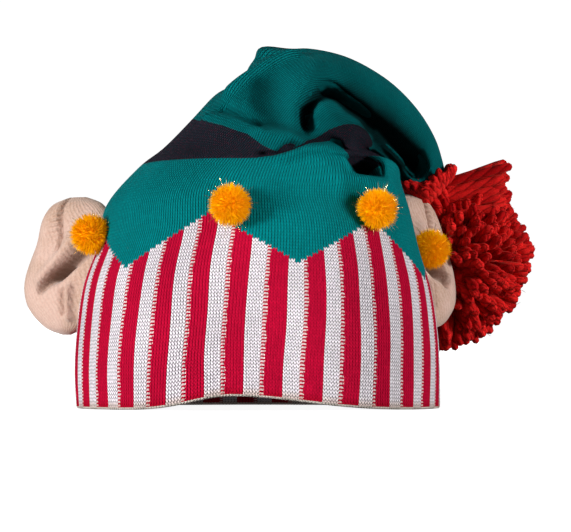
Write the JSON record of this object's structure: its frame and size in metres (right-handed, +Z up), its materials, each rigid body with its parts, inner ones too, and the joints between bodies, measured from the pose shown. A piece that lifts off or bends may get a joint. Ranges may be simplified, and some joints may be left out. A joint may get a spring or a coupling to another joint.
{
  "type": "elf hat",
  "caption": "Striped knitted hat with a tall top that flops to one side, a large pompom at its tip, padded ears and small bobbles.",
  "frame": {"origin": "under the middle of the whole hat's box, level with the underside of the rim", "axes": "+Z up through the crown, +X towards the wearer's left, where the top flops over, -Y out of the front"},
  "size_m": [0.264, 0.211, 0.178],
  "materials": {
    "knit": "matte wool knit",
    "ear_plush": "matte plush",
    "bobble_yarn": "fluffy yarn with tinsel",
    "pompom_yarn": "chunky yarn"
  },
  "bodies": {
    "root": {"knit_body": "knit", "ear_right": "ear_plush", "ear_left": "ear_plush", "bobble_1": "bobble_yarn", "bobble_2": "bobble_yarn", "bobble_3": "bobble_yarn", "bobble_4": "bobble_yarn", "bobble_5": "bobble_yarn", "bobble_6": "bobble_yarn", "pompom": "pompom_yarn"}
  },
  "joints": []
}
